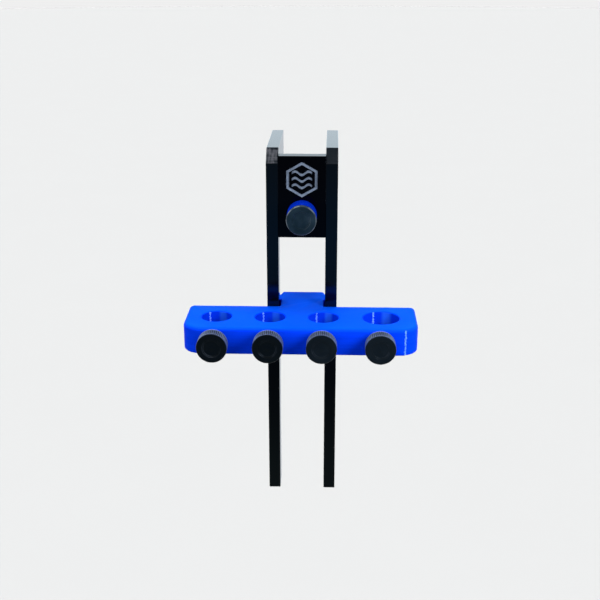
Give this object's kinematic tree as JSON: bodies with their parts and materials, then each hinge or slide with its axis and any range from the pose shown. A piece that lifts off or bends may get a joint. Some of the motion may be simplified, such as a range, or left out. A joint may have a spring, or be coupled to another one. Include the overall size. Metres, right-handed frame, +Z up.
{
  "type": "probe holder",
  "caption": "Hang-on probe holder: black acrylic rails hook over a tank rim and are clamped by a thumbscrew; a blue bar with screw-clamped probe holes slides along them.",
  "frame": {"origin": "middle of the rim seat: midway between the rails and across the hook's slot, at the height of the slot's roof", "axes": "+Z up along the rails, +X along the probe bar, -Y the side that the thumbscrews face"},
  "size_m": [0.096, 0.0828, 0.155],
  "materials": {
    "acrylic_black": "gloss",
    "printed_blue": "satin layered print",
    "nylon_black": "satin moulded",
    "brass_insert": "machined"
  },
  "bodies": {
    "frame": {"rail_left": "acrylic_black", "rail_right": "acrylic_black", "clamp_plate": "acrylic_black"},
    "clamp_pad": {"clamp_pad": "printed_blue"},
    "clamp_screw": {"clamp_head": "nylon_black", "clamp_sleeve": "printed_blue", "clamp_stud": "nylon_black"},
    "bar": {"holder_bar": "printed_blue", "probe_insert_1": "brass_insert", "probe_insert_2": "brass_insert", "probe_insert_3": "brass_insert", "probe_insert_4": "brass_insert"},
    "probe_stud_1": {"probe_stud_1": "nylon_black"},
    "probe_knob_1": {"probe_head_1": "nylon_black"},
    "probe_stud_2": {"probe_stud_2": "nylon_black"},
    "probe_knob_2": {"probe_head_2": "nylon_black"},
    "probe_stud_3": {"probe_stud_3": "nylon_black"},
    "probe_knob_3": {"probe_head_3": "nylon_black"},
    "probe_stud_4": {"probe_stud_4": "nylon_black"},
    "probe_knob_4": {"probe_head_4": "nylon_black"}
  },
  "joints": [
    {"name": "bar_slide", "type": "slide", "parent": "frame", "child": "bar", "axis": [0, 0, 1], "range_m": [-0.0758, 0.0302]},
    {"name": "clamp_slide", "type": "slide", "parent": "frame", "child": "clamp_pad", "axis": [0, 1, 0], "range_m": [-0.012, 0]},
    {"name": "clamp_turn", "type": "hinge", "parent": "clamp_pad", "child": "clamp_screw", "pos_m": [0, -0.03, -0.0148], "axis": [0, 1, 0], "range_deg": [-4320.5, 0.5]},
    {"name": "probe_screw_1_slide", "type": "slide", "parent": "bar", "child": "probe_stud_1", "axis": [0, 1, 0], "range_m": [-0.005, 0.002]},
    {"name": "probe_screw_1_turn", "type": "hinge", "parent": "probe_stud_1", "child": "probe_knob_1", "pos_m": [-0.035, -0.05395, -0.06082], "axis": [0, 1, 0], "range_deg": [-2250.5, 900.5]},
    {"name": "probe_screw_2_slide", "type": "slide", "parent": "bar", "child": "probe_stud_2", "axis": [0, 1, 0], "range_m": [-0.005, 0.002]},
    {"name": "probe_screw_2_turn", "type": "hinge", "parent": "probe_stud_2", "child": "probe_knob_2", "pos_m": [-0.0127, -0.05395, -0.06082], "axis": [0, 1, 0], "range_deg": [-2250.5, 900.5]},
    {"name": "probe_screw_3_slide", "type": "slide", "parent": "bar", "child": "probe_stud_3", "axis": [0, 1, 0], "range_m": [-0.005, 0.002]},
    {"name": "probe_screw_3_turn", "type": "hinge", "parent": "probe_stud_3", "child": "probe_knob_3", "pos_m": [0.0088, -0.05395, -0.06082], "axis": [0, 1, 0], "range_deg": [-2250.5, 900.5]},
    {"name": "probe_screw_4_slide", "type": "slide", "parent": "bar", "child": "probe_stud_4", "axis": [0, 1, 0], "range_m": [-0.005, 0.002]},
    {"name": "probe_screw_4_turn", "type": "hinge", "parent": "probe_stud_4", "child": "probe_knob_4", "pos_m": [0.0323, -0.05395, -0.06082], "axis": [0, 1, 0], "range_deg": [-2250.5, 900.5]}
  ],
  "couplings": [
    {"joint": "clamp_turn", "follows": "clamp_slide", "rad_per_m": 6283.2},
    {"joint": "probe_screw_1_turn", "follows": "probe_screw_1_slide", "rad_per_m": 7854},
    {"joint": "probe_screw_2_turn", "follows": "probe_screw_2_slide", "rad_per_m": 7854},
    {"joint": "probe_screw_3_turn", "follows": "probe_screw_3_slide", "rad_per_m": 7854},
    {"joint": "probe_screw_4_turn", "follows": "probe_screw_4_slide", "rad_per_m": 7854}
  ]
}
